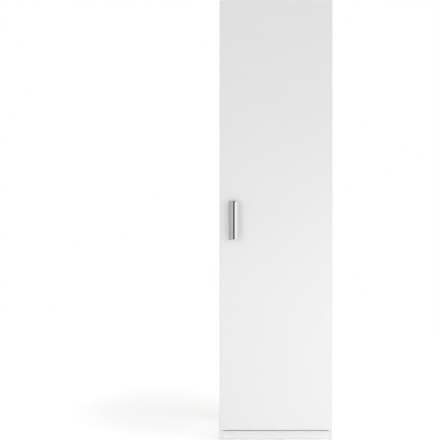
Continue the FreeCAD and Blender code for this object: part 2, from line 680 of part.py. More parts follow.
def hinge_cup(z):
    into = Y * -1
    wing = CUP_SCREW_SPREAD / 2
    wing_x = cup_x - CUP_SCREW_BACK
    cup = [
        rod(CUP_RADIUS - FIXED_FIT, Vector(cup_x, flange_top, z), into, CUP_FLANGE + CUP_DEPTH),
        rod(CUP_FLANGE_RADIUS, Vector(cup_x, flange_top, z), into, CUP_FLANGE),
        block(
            wing_x - CUP_WING_RADIUS, wing_x + CUP_WING_RADIUS, door_back, flange_top, z - wing, z + wing
        ),
        rod(CUP_WING_RADIUS, Vector(wing_x, flange_top, z - wing), into, CUP_FLANGE),
        rod(CUP_WING_RADIUS, Vector(wing_x, flange_top, z + wing), into, CUP_FLANGE),
    ]
    cup = fused(cup)
    room = rod(CUP_RADIUS - CUP_WALL, Vector(cup_x, flange_top, z), into, flange_top - cup_floor)
    eye_room = EYE_RADIUS + EYE_ROOM
    half_neck = ARM_NECK_WIDTH / 2 + EYE_ROOM
    pocket = block(
        cup_x, axis_x + eye_room, axis_y - eye_room, flange_top, z - half_neck, z + half_neck
    )
    cup = cup.cut(room).cut(pocket)
    lug_top = Vector(cup_x, axis_y + LUG_HALF, z)
    inside = rod(CUP_RADIUS - CUP_WALL / 2, lug_top, into, lug_top.y - cup_floor)
    for sign in (-1, 1):
        low, high = sorted((z + sign * LUG_FROM_MIDDLE, z + sign * CUP_RADIUS))
        lug = block(
            axis_x - LUG_HALF, axis_x + LUG_HALF, cup_floor, axis_y + LUG_HALF, low, high
        )
        cup = cup.fuse(lug.common(inside))
    cup = cup.removeSplitter()
    pin_half = HINGE_PIN_LENGTH / 2
    cup = cup.cut(
        rod(HINGE_PIN_RADIUS + FIXED_FIT, Vector(axis_x, axis_y, z - pin_half), Z, HINGE_PIN_LENGTH)
    )
    hinge_pins.append(rod(HINGE_PIN_RADIUS, Vector(axis_x, axis_y, z - pin_half), Z, HINGE_PIN_LENGTH))
    holes["door_panel"].append(rod(CUP_RADIUS, Vector(cup_x, door_back, z), into, CUP_DEPTH))
    for screw_z in (z - wing, z + wing):
        at = Vector(wing_x, flange_top, screw_z)
        hinge_cup_screws.append(
            pan_screw(
                at, into, CUP_SCREW_RADIUS, CUP_FLANGE + CUP_SCREW_IN, CUP_SCREW_HEAD_RADIUS,
                CUP_SCREW_HEAD_HEIGHT,
            )
        )
        cup = cup.cut(rod(CUP_SCREW_RADIUS + FIXED_FIT, at, into, CUP_FLANGE))
        drill("door_panel", CUP_SCREW_RADIUS, Vector(wing_x, door_back, screw_z), into, CUP_SCREW_IN)
    return cup


def hinge_spring(z):
    bead_x = axis_x - EYE_RADIUS
    leaf = block(
        bead_x - SPRING_LENGTH, bead_x, cup_floor, cup_floor + SPRING_THICK,
        z - SPRING_WIDTH / 2, z + SPRING_WIDTH / 2,
    )
    bead = rod(SPRING_BEAD, Vector(bead_x, cup_floor + SPRING_BEAD, z - SPRING_WIDTH / 2), Z, SPRING_WIDTH)
    return fused([leaf, bead])


def hinge_arm(z):
    low = z - ARM_NECK_WIDTH / 2
    half = ARM_THICK / 2
    eye = rod(EYE_RADIUS, Vector(axis_x, axis_y, low), Z, ARM_NECK_WIDTH)
    neck = Part.makeBox(neck_length, ARM_THICK, ARM_NECK_WIDTH, Vector(-neck_length, -half, 0))
    neck.Placement = FreeCAD.Placement(Vector(axis_x, axis_y, low), FreeCAD.Rotation(Z, ARM_DIP))
    base = bend_centre + Z * low
    sweep = 90 + ARM_DIP
    bend = Part.makeCylinder(ARM_BEND + half, ARM_NECK_WIDTH, base, Z, sweep)
    bend = bend.cut(rod(ARM_BEND - half, base, Z, ARM_NECK_WIDTH))
    bend.rotate(base, Z, 180)
    stem = block(arm_inner, arm_face, bend_centre.y, arm_back, low, low + ARM_NECK_WIDTH)
    wide = block(arm_inner, arm_face, wide_front, arm_back, z - ARM_WIDTH / 2, z + ARM_WIDTH / 2)
    rims = [
        block(
            arm_inner - ARM_FLANGE, arm_face, plate_front, arm_back, rim_low, rim_low + ARM_FLANGE_THICK
        )
        for rim_low in (z - ARM_WIDTH / 2, z + ARM_WIDTH / 2 - ARM_FLANGE_THICK)
    ]
    arm = fused([eye, neck, bend, stem, wide] + rims)
    arm = rounded(
        arm, Z, ARM_ROUND,
        lambda p: p.x < arm_inner - ARM_FLANGE / 2,
    )
    arm = arm.cut(rod(HINGE_PIN_RADIUS + RUNNING_FIT, Vector(axis_x, axis_y, low), Z, ARM_NECK_WIDTH))
    for y in arm_screw_places:
        at = Vector(arm_inner, y, z)
        hinge_arm_screws.append(
            pan_screw(
                at, X, ARM_SCREW_RADIUS, ARM_THICK + PLATE_HEIGHT - END_ROOM, ARM_SCREW_HEAD_RADIUS,
                ARM_SCREW_HEAD_HEIGHT,
            )
        )
        arm = arm.cut(rod(ARM_SCREW_RADIUS + FIXED_FIT, at, X, ARM_THICK))
    return arm


def hinge_plate(z):
    rail = block(arm_face, side_in, plate_front, plate_back, z - ARM_WIDTH / 2, z + ARM_WIDTH / 2)
    wing = block(
        side_in - PLATE_WING_THICK, side_in,
        plate_screw_y - PLATE_WING_WIDTH / 2, plate_screw_y + PLATE_WING_WIDTH / 2,
        z - PLATE_WING_SPAN / 2, z + PLATE_WING_SPAN / 2,
    )
    plate = fused([rounded(rail, X, PLATE_ROUND), rounded(wing, X, PLATE_ROUND)])
    for y in arm_screw_places:
        plate = plate.cut(rod(ARM_SCREW_RADIUS + FIXED_FIT, Vector(arm_face, y, z), X, PLATE_HEIGHT))
    for screw_z in (z - PLATE_SCREW_SPREAD / 2, z + PLATE_SCREW_SPREAD / 2):
        at = Vector(side_in - PLATE_WING_THICK, plate_screw_y, screw_z)
        hinge_plate_screws.append(
            pan_screw(
                at, X, PLATE_SCREW_RADIUS, PLATE_WING_THICK + PLATE_SCREW_IN, PLATE_SCREW_HEAD_RADIUS,
                PLATE_SCREW_HEAD_HEIGHT,
            )
        )
        plate = plate.cut(rod(PLATE_SCREW_RADIUS + FIXED_FIT, at, X, PLATE_WING_THICK))
        drill("right_side_panel", PLATE_SCREW_RADIUS, at + X * PLATE_WING_THICK, X, PLATE_SCREW_IN)
    return plate


hinge_low = door_under + HINGE_INSET
hinge_step = (door_top - HINGE_INSET - hinge_low) / (HINGES - 1)
for number in range(1, HINGES + 1):
    hinge_z = hinge_low + hinge_step * (number - 1)
    hinge_pieces[f"hinge_cup_{number}"] = hinge_cup(hinge_z)
    hinge_pieces[f"hinge_arm_{number}"] = hinge_arm(hinge_z)
    hinge_pieces[f"hinge_plate_{number}"] = hinge_plate(hinge_z)
    hinge_springs.append(hinge_spring(hinge_z))

# Drilled boards and all pieces, written out one file each
pieces = {name: board.cut(holes[name]) if holes[name] else board for name, board in boards.items()}
pieces.update(small_shelves)
pieces.update(hinge_pieces)
pieces["handle"] = handle
pieces["wall_bracket"] = wall_bracket
groups = {
    "carcass_edge_bands": carcass_edge_bands,
    "shelf_edge_bands": shelf_edge_bands,
    "door_edge_bands": door_edge_bands,
    "cam_locks": cam_locks,
    "cam_bolts": cam_bolts,
    "cam_covers": cam_covers,
    "dowels": dowels,
    "partition_screws": partition_screws,
    "back_panel_nails": back_panel_nails,
    "shelf_pins": shelf_pins,
    "plinth_blocks": plinth_blocks,
    "plinth_block_screws": plinth_block_screws,
    "floor_glides": floor_glides,
    "wall_bracket_screws": wall_bracket_screws,
    "handle_screws": handle_screws,
    "door_buffers": door_buffers,
    "hinge_pins": hinge_pins,
    "hinge_springs": hinge_springs,
    "hinge_cup_screws": hinge_cup_screws,
    "hinge_plate_screws": hinge_plate_screws,
    "hinge_arm_screws": hinge_arm_screws,
}
for name, solids in groups.items():
    pieces[name] = Part.makeCompound([solid for shape in solids for solid in shape.Solids])
for name, shape in pieces.items():
    shape.exportStep(f"parts/{name}.step")
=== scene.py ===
"""The looks of a tall white broom cupboard: finishes, small fittings, floor, light and camera."""

import math

import bmesh
import bpy
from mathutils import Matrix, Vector


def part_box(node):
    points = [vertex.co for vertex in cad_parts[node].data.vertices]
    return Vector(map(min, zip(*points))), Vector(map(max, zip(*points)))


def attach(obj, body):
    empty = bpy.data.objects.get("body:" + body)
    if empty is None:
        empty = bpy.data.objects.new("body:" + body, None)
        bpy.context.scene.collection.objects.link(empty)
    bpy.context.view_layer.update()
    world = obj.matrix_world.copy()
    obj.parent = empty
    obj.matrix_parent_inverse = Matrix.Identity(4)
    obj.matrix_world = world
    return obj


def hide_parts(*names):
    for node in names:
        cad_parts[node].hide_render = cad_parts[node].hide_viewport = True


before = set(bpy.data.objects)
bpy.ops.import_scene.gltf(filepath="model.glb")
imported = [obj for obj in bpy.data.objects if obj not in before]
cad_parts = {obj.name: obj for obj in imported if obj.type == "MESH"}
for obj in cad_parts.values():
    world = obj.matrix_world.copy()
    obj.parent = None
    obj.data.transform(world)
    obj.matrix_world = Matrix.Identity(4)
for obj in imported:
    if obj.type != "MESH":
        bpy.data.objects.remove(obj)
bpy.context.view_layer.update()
scene = bpy.context.scene
scene.view_settings.view_transform = "Standard"

# Colours, as linear light
BOARD_WHITE = (0.800, 0.800, 0.800, 1.0)
BOARD_WHITE_LOW = (0.780, 0.780, 0.780, 1.0)
# The plinth's two whites are the boards' white painted lighter, to make up for the shade under the door's
# overhang
PLINTH_WHITE_LIGHTENED = (0.840, 0.840, 0.840, 1.0)
PLINTH_WHITE_LOW_LIGHTENED = (0.825, 0.825, 0.825, 1.0)
BAND_WHITE = (0.810, 0.810, 0.810, 1.0)
BAND_WHITE_LOW = (0.785, 0.785, 0.785, 1.0)
CORE_TAN = (0.440, 0.300, 0.175, 1.0)
CORE_PALE = (0.640, 0.490, 0.320, 1.0)
CORE_DARK = (0.190, 0.115, 0.060, 1.0)
HARDBOARD_BROWN = (0.230, 0.125, 0.062, 1.0)
HARDBOARD_PALE = (0.330, 0.195, 0.105, 1.0)
HARDBOARD_DARK = (0.150, 0.080, 0.040, 1.0)
CHROME = (0.800, 0.805, 0.815, 1.0)
CHROME_DULL = (0.760, 0.765, 0.775, 1.0)
NICKEL = (0.640, 0.625, 0.595, 1.0)
NICKEL_DULL = (0.595, 0.580, 0.552, 1.0)
ZINC = (0.600, 0.610, 0.625, 1.0)
ZINC_DULL = (0.440, 0.450, 0.465, 1.0)
CAST_ZINC = (0.500, 0.505, 0.510, 1.0)
CAST_ZINC_DULL = (0.360, 0.365, 0.370, 1.0)
BEECH = (0.640, 0.440, 0.265, 1.0)
BEECH_DARK = (0.460, 0.285, 0.155, 1.0)
PLASTIC_WHITE = (0.780, 0.780, 0.775, 1.0)
PLASTIC_WHITE_LOW = (0.730, 0.730, 0.725, 1.0)
GLIDE_WHITE = (0.640, 0.640, 0.615, 1.0)
GLIDE_WHITE_LOW = (0.580, 0.580, 0.555, 1.0)
SOFT_CLEAR = (0.760, 0.770, 0.775, 1.0)
SOFT_CLEAR_LOW = (0.700, 0.710, 0.715, 1.0)
WHITE = (1.0, 1.0, 1.0, 1.0)

# Bare chipboard: the tone of each chip
CHIP_TONES = [(0.0, CORE_DARK), (0.3, CORE_TAN), (0.75, CORE_PALE), (1.0, CORE_TAN)]

# A face looks along an axis when its normal has more than this share of it
FACING = 0.7

# A pattern that isn't drawn out
EVEN = (1.0, 1.0, 1.0)


class Nodes:
    """Short calls for filling a node tree."""

    def __init__(self, tree):
        self.tree = tree

    def node(self, kind, inputs=None, **settings):
        """A new node with its settings; each socket named gets a value or another node's output."""
        made = self.tree.nodes.new(kind)
        for name, value in settings.items():
            setattr(made, name, value)
        for socket, value in (inputs or {}).items():
            if isinstance(value, bpy.types.NodeSocket):
                self.tree.links.new(value, made.inputs[socket])
            else:
                made.inputs[socket].default_value = value
        return made

    def reckon(self, operation, *values):
        """One step of arithmetic."""
        return self.node("ShaderNodeMath", dict(enumerate(values)), operation=operation).outputs[0]

    def combine(self, operation, *vectors):
        """One step of arithmetic on vectors."""
        return self.node("ShaderNodeVectorMath", dict(enumerate(vectors)), operation=operation).outputs[0]

    def length(self, vector):
        """How long a vector is."""
        return self.node("ShaderNodeVectorMath", {0: vector}, operation="LENGTH").outputs["Value"]

    def parts(self, vector):
        """A vector's parts along X, Y and Z."""
        return self.node("ShaderNodeSeparateXYZ", {"Vector": vector}).outputs

    def joined_parts(self, **parts):
        """A vector from its parts; a part that isn't given is 0."""
        return self.node("ShaderNodeCombineXYZ", parts).outputs[0]

    def level(self, value, low, high, start=0.0, end=1.0, way="LINEAR"):
        """A value from low to high as another goes from start to end."""
        inputs = {"Value": value, "From Min": start, "From Max": end, "To Min": low, "To Max": high}
        return self.node("ShaderNodeMapRange", inputs, interpolation_type=way).outputs["Result"]

    def blend(self, amount, low, high):
        """A colour between two others."""
        return self.node("ShaderNodeMix", {0: amount, 6: low, 7: high}, data_type="RGBA").outputs[2]

    def ramp(self, value, stops):
        """A colour from a row of (place, colour) stops."""
        ramp = self.node("ShaderNodeValToRGB", {"Fac": value})
        elements = ramp.color_ramp.elements
        while len(elements) < len(stops):
            elements.new(0.5)
        for element, (place, colour) in zip(elements, stops):
            element.position = place
            element.color = colour
        return ramp.outputs["Color"]


class Finish(Nodes):
    """A procedural finish: one shader, fed by patterns that are read in the piece's own coordinates."""

    def __init__(self, name, sockets):
        self.material = bpy.data.materials.new(name)
        self.material.use_nodes = True
        super().__init__(self.material.node_tree)
        self.shader = self.tree.nodes["Principled BSDF"]
        for socket, value in sockets.items():
            self.shader.inputs[socket].default_value = value
        coordinates = self.node("ShaderNodeTexCoord")
        self.place = coordinates.outputs["Object"]
        self.facing = coordinates.outputs["Normal"]

    def stretched(self, stretch):
        """The piece's coordinates, drawn out by these factors."""
        scale = [1.0 / factor for factor in stretch]
        return self.node("ShaderNodeMapping", {"Vector": self.place, "Scale": scale}).outputs[0]

    def cloud(self, size, detail, stretch=EVEN):
        """Soft noise with spots of about this size in metres, from 0 to 1."""
        inputs = {"Vector": self.stretched(stretch), "Scale": 1.0 / size, "Detail": detail}
        return self.node("ShaderNodeTexNoise", inputs).outputs["Fac"]

    def chips(self, size, stretch=EVEN):
        """Packed chips of about this size: a grey level for each, and the distance from its middle."""
        inputs = {"Vector": self.stretched(stretch), "Scale": 1.0 / size}
        cells = self.node("ShaderNodeTexVoronoi", inputs)
        level = self.node("ShaderNodeSeparateColor", {"Color": cells.outputs["Color"]}).outputs["Red"]
        return level, cells.outputs["Distance"]

    def facing_along(self, axis):
        """1 on the faces that look along this axis of the piece, either way, and 0 elsewhere."""
        along = self.reckon("ABSOLUTE", self.parts(self.facing)[axis])
        return self.reckon("GREATER_THAN", along, FACING)

    def relief(self, height, depth, strength=1.0):
        """The surface's normal with a pattern raised by this depth in metres."""
        inputs = {"Height": height, "Distance": depth, "Strength": strength}
        return self.node("ShaderNodeBump", inputs).outputs["Normal"]

    def either(self, amount, first, second):
        """The first normal at 0 and the second at 1."""
        inputs = {0: amount, 4: first, 5: second}
        return self.node("ShaderNodeMix", inputs, data_type="VECTOR").outputs[1]

    def feed(self, **sockets):
        """Links patterns to the shader's sockets; an underscore stands for a space."""
        for socket, value in sockets.items():
            self.tree.links.new(value, self.shader.inputs[socket.replace("_", " ")])
        return self.material


# Finishes of the boards


def faced_board(name, face_axis, light=BOARD_WHITE, dark=BOARD_WHITE_LOW):
    """White faced board: fine pearl grain on both faces, bare chipboard on cut edges and in holes."""
    finish = Finish(name, {"IOR": 1.5})
    faced = finish.facing_along(face_axis)
    pearl = finish.cloud(size=0.0008, detail=3.0)
    tone = finish.cloud(size=0.35, detail=4.0)
    chip, from_middle = finish.chips(size=0.0022, stretch=(1.5, 1.0, 1.5))
    core = finish.ramp(chip, CHIP_TONES)
    bare = finish.relief(from_middle, depth=0.0005, strength=0.6)
    smooth = finish.relief(pearl, depth=0.00016)
    return finish.feed(
        Base_Color=finish.blend(faced, core, finish.blend(tone, dark, light)),
        Roughness=finish.level(faced, low=0.85, high=0.40),
        Normal=finish.either(faced, bare, smooth),
    )


def edge_band():
    """White plastic band on the boards' edges, with faint lines from its trimming."""
    finish = Finish("edge_band", {"IOR": 1.5})
    lines = finish.cloud(size=0.0009, detail=2.0, stretch=(6.0, 1.0, 30.0))
    tone = finish.cloud(size=0.25, detail=3.0)
    return finish.feed(
        Base_Color=finish.blend(tone, BAND_WHITE_LOW, BAND_WHITE),
        Roughness=finish.level(lines, low=0.30, high=0.42),
        Normal=finish.relief(lines, depth=0.00003, strength=0.3),
    )


def back_board():
    """Thin hardboard: painted white inside the cupboard, bare brown fibre behind and on its edges."""
    finish = Finish("back_board", {"IOR": 1.5})
    painted = finish.reckon("LESS_THAN", finish.parts(finish.facing)["Y"], -FACING)
    fibre = finish.cloud(size=0.004, detail=6.0, stretch=(1.0, 1.0, 2.2))
    speck = finish.level(finish.cloud(size=0.0022, detail=2.0), low=0.0, high=1.0, start=0.62, end=0.74)
    pressed = finish.blend(finish.cloud(size=0.09, detail=3.0), HARDBOARD_BROWN, HARDBOARD_PALE)
    fibres = finish.blend(fibre, HARDBOARD_BROWN, pressed)
    brown = finish.blend(speck, fibres, HARDBOARD_DARK)
    white = finish.blend(finish.cloud(size=0.3, detail=4.0), BOARD_WHITE_LOW, BOARD_WHITE)
    return finish.feed(
        Base_Color=finish.blend(painted, brown, white),
        Roughness=finish.level(painted, low=0.72, high=0.45),
        Normal=finish.relief(fibre, depth=0.00025, strength=0.5),
    )


# Finishes of the fittings


def plated(name, bright, dull, rough, spot, depth):
    """Plated metal with fine cloudy changes of tone and polish."""
    finish = Finish(name, {"Metallic": 1.0})
    spots = finish.cloud(size=spot, detail=5.0)
    wear = finish.cloud(size=spot * 6.0, detail=3.0)
    return finish.feed(
        Base_Color=finish.blend(wear, dull, bright),
        Roughness=finish.level(spots, low=rough * 0.8, high=rough * 1.3, start=0.3, end=0.7),
        Normal=finish.relief(spots, depth=depth, strength=0.4),
    )


def moulded(name, light, dark, rough, spot, depth):
    """Moulded plastic with a fine even grain."""
    finish = Finish(name, {"IOR": 1.46})
    grain = finish.cloud(size=spot, detail=3.0)
    tone = finish.cloud(size=spot * 12.0, detail=2.0)
    return finish.feed(
        Base_Color=finish.blend(tone, dark, light),
        Roughness=finish.level(grain, low=rough * 0.85, high=rough * 1.2, start=0.3, end=0.7),
        Normal=finish.relief(grain, depth=depth, strength=0.5),
    )


def beech():
    """Turned beech, with short dark flecks along the grain."""
    finish = Finish("beech", {"IOR": 1.5})
    flecks = finish.cloud(size=0.0012, detail=4.0, stretch=(4.0, 1.0, 1.0))
    return finish.feed(
        Base_Color=finish.blend(flecks, BEECH_DARK, BEECH),
        Roughness=finish.level(flecks, low=0.55, high=0.72),
        Normal=finish.relief(flecks, depth=0.0002, strength=0.5),
    )


def soft_clear():
    """Soft clear stops, slightly cloudy."""
    finish = Finish("soft_clear", {"IOR": 1.41, "Transmission Weight": 0.55})
    mist = finish.cloud(size=0.002, detail=3.0)
    return finish.feed(
        Base_Color=finish.blend(mist, SOFT_CLEAR_LOW, SOFT_CLEAR),
        Roughness=finish.level(mist, low=0.25, high=0.42),
        Normal=finish.relief(mist, depth=0.00005, strength=0.4),
    )


UPRIGHT_BOARD = faced_board("upright_board", "X")
FRONT_BOARD = faced_board("front_board", "Y")
# The plinth board gets the white board finish painted lighter, against the shade under the door's overhang
PLINTH_BOARD_LIGHTENED = faced_board("plinth_face", "Y", light=PLINTH_WHITE_LIGHTENED, dark=PLINTH_WHITE_LOW_LIGHTENED)
LEVEL_BOARD = faced_board("level_board", "Z")
EDGE_BAND = edge_band()
BACK_BOARD = back_board()
HANDLE_CHROME = plated("handle_chrome", CHROME, CHROME_DULL, rough=0.09, spot=0.0040, depth=0.000004)
HINGE_NICKEL = plated("hinge_nickel", NICKEL, NICKEL_DULL, rough=0.20, spot=0.0020, depth=0.000003)
SCREW_ZINC = plated("screw_zinc", ZINC, ZINC_DULL, rough=0.33, spot=0.0012, depth=0.00001)
CAM_ZINC = plated("cam_zinc", CAST_ZINC, CAST_ZINC_DULL, rough=0.45, spot=0.0010, depth=0.00003)
BRACKET_ZINC = plated("bracket_zinc", ZINC, ZINC_DULL, rough=0.36, spot=0.0030, depth=0.00001)
BEECH_WOOD = beech()
WHITE_PLASTIC = moulded(
    "white_plastic", PLASTIC_WHITE, PLASTIC_WHITE_LOW, rough=0.38, spot=0.0008, depth=0.00002
)
GLIDE_PLASTIC = moulded("glide_plastic", GLIDE_WHITE, GLIDE_WHITE_LOW, rough=0.48, spot=0.0008, depth=0.00003)
BUFFER_CLEAR = soft_clear()

FINISH_OF = {
    "left_side_panel": UPRIGHT_BOARD,
    "right_side_panel": UPRIGHT_BOARD,
    "partition": UPRIGHT_BOARD,
    "top_panel": LEVEL_BOARD,
    "bottom_panel": LEVEL_BOARD,
    "fixed_shelf": LEVEL_BOARD,
    "small_shelf_1": LEVEL_BOARD,
    "small_shelf_2": LEVEL_BOARD,
    "small_shelf_3": LEVEL_BOARD,
    "door_panel": FRONT_BOARD,
    "plinth_board": PLINTH_BOARD_LIGHTENED,
    "back_panel": BACK_BOARD,
    "carcass_edge_bands": EDGE_BAND,
    "shelf_edge_bands": EDGE_BAND,
    "door_edge_bands": EDGE_BAND,
    "handle": HANDLE_CHROME,
    "hinge_pins": HINGE_NICKEL,
    "hinge_springs": HINGE_NICKEL,
    "hinge_cup_screws": SCREW_ZINC,
    "hinge_plate_screws": SCREW_ZINC,
    "hinge_arm_screws": SCREW_ZINC,
    "handle_screws": SCREW_ZINC,
    "partition_screws": SCREW_ZINC,
    "plinth_block_screws": SCREW_ZINC,
    "back_panel_nails": SCREW_ZINC,
    "wall_bracket_screws": SCREW_ZINC,
    "wall_bracket": BRACKET_ZINC,
    "cam_locks": CAM_ZINC,
    "cam_bolts": SCREW_ZINC,
    "shelf_pins": HINGE_NICKEL,
    "cam_covers": WHITE_PLASTIC,
    "plinth_blocks": WHITE_PLASTIC,
    "floor_glides": GLIDE_PLASTIC,
    "dowels": BEECH_WOOD,
    "door_buffers": BUFFER_CLEAR,
}
HINGES = 4
for number in range(1, HINGES + 1):
    for part in ("hinge_cup", "hinge_arm", "hinge_plate"):
        FINISH_OF[f"{part}_{number}"] = HINGE_NICKEL

for name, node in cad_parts.items():
    node.data.materials.clear()
    node.data.materials.append(FINISH_OF[name])

# Small fittings that repeat, in metres

WELD = 0.000001
NAIL_HEAD_SIDES = 24
NAIL_HEAD_HEIGHT = 0.0008
NAIL_SHANK_SIDES = 10
NAIL_SHANK_RADIUS = 0.0008
NAIL_POINT = 0.0030
WAFFLE_ROWS = 5
WAFFLE_PITCH = 0.00062
WAFFLE_DEPTH = 0.00025
WAFFLE_SINK = 0.00005
STUD_SIDES = 4
HALF_DIAGONAL = math.sqrt(0.5)
EIGHTH_TURN = math.pi / 4
QUARTER_TURN = math.pi / 2
CAP_SIDES = 48
CAP_RINGS = 12

# Neighbouring shells of a nail take this share of the room they have, so that no two share an edge
SHELL_SHARE = 0.96

# The cap's height from its middle to its rim, both as shares
CAP_PROFILE = [
    (0.0, 1.0), (0.50, 0.97), (0.583, 0.95), (0.667, 0.55), (0.75, 0.92), (0.917, 0.88), (1.0, 0.45),
]


class Growth(Nodes):
    """A geometry tree with named sizes, which sets one shape at each of the places it is given."""

    def __init__(self, name, sizes):
        tree = bpy.data.node_groups.new(name, "GeometryNodeTree")
        super().__init__(tree)
        tree.interface.new_socket("Places", in_out="INPUT", socket_type="NodeSocketGeometry")
        for size in sizes:
            tree.interface.new_socket(size, in_out="INPUT", socket_type="NodeSocketFloat")
        tree.interface.new_socket("Shapes", in_out="OUTPUT", socket_type="NodeSocketGeometry")
        self.given = self.node("NodeGroupInput").outputs

    def position(self):
        """Where each point of a shape is."""
        return self.node("GeometryNodeInputPosition").outputs[0]

    def cylinder(self, sides, radius, height, rings=1):
        """A closed cylinder on its own middle."""
        inputs = {"Vertices": sides, "Fill Segments": rings, "Radius": radius, "Depth": height}
        fill = "TRIANGLE_FAN" if rings > 1 else "NGON"
        return self.node("GeometryNodeMeshCylinder", inputs, fill_type=fill).outputs["Mesh"]

    def cone(self, sides, top, bottom, height):
        """A closed cone that stands on the level of its own origin."""
        inputs = {"Vertices": sides, "Radius Top": top, "Radius Bottom": bottom, "Depth": height}
        return self.node("GeometryNodeMeshCone", inputs).outputs["Mesh"]

    def lifted(self, shape, height, turn=0.0):
        """A shape moved up, and turned about its upright axis."""
        up = self.joined_parts(Z=height)
        inputs = {"Geometry": shape, "Translation": up, "Rotation": (0.0, 0.0, turn)}
        return self.node("GeometryNodeTransform", inputs).outputs["Geometry"]

    def set_at(self, places, shape, turn=(0.0, 0.0, 0.0)):
        """Copies of a shape at these places."""
        inputs = {"Points": places, "Instance": shape, "Rotation": turn}
        return self.node("GeometryNodeInstanceOnPoints", inputs).outputs["Instances"]

    def together(self, *shapes):
        """Several shapes as one."""
        join = self.node("GeometryNodeJoinGeometry")
        for shape in shapes:
            self.tree.links.new(shape, join.inputs[0])
        return join.outputs[0]

    def hand_over(self, copies, material):
        """The copies as one plain mesh with its finish."""
        plain = self.node("GeometryNodeRealizeInstances", {"Geometry": copies}).outputs[0]
        finished = self.node("GeometryNodeSetMaterial", {"Geometry": plain, "Material": material}).outputs[0]
        self.node("NodeGroupOutput", {"Shapes": finished})


def boxes_in(node):
    """The lowest and highest corner of each separate piece in a node."""
    shape = bmesh.new()
    shape.from_mesh(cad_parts[node].data)
    bmesh.ops.remove_doubles(shape, verts=shape.verts, dist=WELD)
    boxes = []
    for start in shape.verts:
        if start.tag:
            continue
        start.tag = True
        piece = [start]
        for vertex in piece:
            for edge in vertex.link_edges:
                other = edge.other_vert(vertex)
                if not other.tag:
                    other.tag = True
                    piece.append(other)
        spans = [[vertex.co[axis] for vertex in piece] for axis in range(3)]
        boxes.append((Vector([min(span) for span in spans]), Vector([max(span) for span in spans])))
    shape.free()
    return boxes


def grown(growth, name, places, sizes):
    """A plain mesh piece: what the tree makes at these places with these sizes."""
    points = bpy.data.meshes.new(name + "_places")
    points.from_pydata(places, [], [])
    piece = bpy.data.objects.new(name, points)
    scene.collection.objects.link(piece)
    grow = piece.modifiers.new("grow", "NODES")
    grow.node_group = growth.tree
    for item in growth.tree.interface.items_tree:
        if item.in_out == "INPUT" and item.name in sizes:
            grow[item.identifier] = sizes[item.name]
    evaluated = piece.evaluated_get(bpy.context.evaluated_depsgraph_get())
    mesh = bpy.data.meshes.new_from_object(evaluated)
    piece.modifiers.remove(grow)
    mesh.name = name
    piece.data = mesh
    return piece


def nail_studs(nail):
    """The pyramids that stand in rows on a nail's head, inside its rim."""
    given = nail.given
    width = nail.reckon("MULTIPLY", given["Pitch"], WAFFLE_ROWS - 1.0)
    rows = {"Size X": width, "Size Y": width, "Vertices X": WAFFLE_ROWS, "Vertices Y": WAFFLE_ROWS}
    grid = nail.node("GeometryNodeMeshGrid", rows).outputs["Mesh"]
    reach = nail.reckon("MULTIPLY", given["Pitch"], HALF_DIAGONAL)
    rim = nail.reckon("SUBTRACT", given["Head Radius"], reach)
    past = nail.reckon("GREATER_THAN", nail.length(nail.position()), rim)
    kept = nail.node("GeometryNodeDeleteGeometry", {"Geometry": grid, "Selection": past}).outputs[0]
    foot = nail.reckon("MULTIPLY", given["Pitch"], SHELL_SHARE * HALF_DIAGONAL)
    height = nail.reckon("ADD", given["Depth"], given["Sink"])
    stud = nail.lifted(nail.cone(STUD_SIDES, 0.0, foot, height), 0.0, EIGHTH_TURN)
    return nail.lifted(nail.set_at(kept, stud), nail.reckon("MULTIPLY", height, -1.0))


def nail_tree():
    """A nail with a waffled flat head and a tapered point; its head is set flush and faces the back."""
    sizes = ("Head Radius", "Head Height", "Shank Radius", "Length", "Point", "Pitch", "Depth", "Sink")
    nail = Growth("waffle_nail", sizes)
    given = nail.given
    plate_height = nail.reckon("SUBTRACT", given["Head Height"], given["Depth"])
    plate_middle = nail.reckon("MULTIPLY", nail.reckon("ADD", given["Head Height"], given["Depth"]), -0.5)
    plate = nail.lifted(nail.cylinder(NAIL_HEAD_SIDES, given["Head Radius"], plate_height), plate_middle)
    under = nail.reckon("MULTIPLY", given["Length"], -1.0)
    under_head = nail.reckon("SUBTRACT", given["Length"], given["Head Height"])
    shank_height = nail.reckon("SUBTRACT", under_head, given["Point"])
    shank_foot = nail.reckon("ADD", under, given["Point"])
    shank_middle = nail.reckon("ADD", shank_foot, nail.reckon("MULTIPLY", shank_height, 0.5))
    shank = nail.lifted(nail.cylinder(NAIL_SHANK_SIDES, given["Shank Radius"], shank_height), shank_middle)
    point_radius = nail.reckon("MULTIPLY", given["Shank Radius"], SHELL_SHARE)
    point = nail.lifted(nail.cone(NAIL_SHANK_SIDES, point_radius, 0.0, given["Point"]), under)
    whole = nail.together(plate, shank, point, nail_studs(nail))
    nail.hand_over(nail.set_at(given["Places"], whole, (-QUARTER_TURN, 0.0, 0.0)), SCREW_ZINC)
    return nail


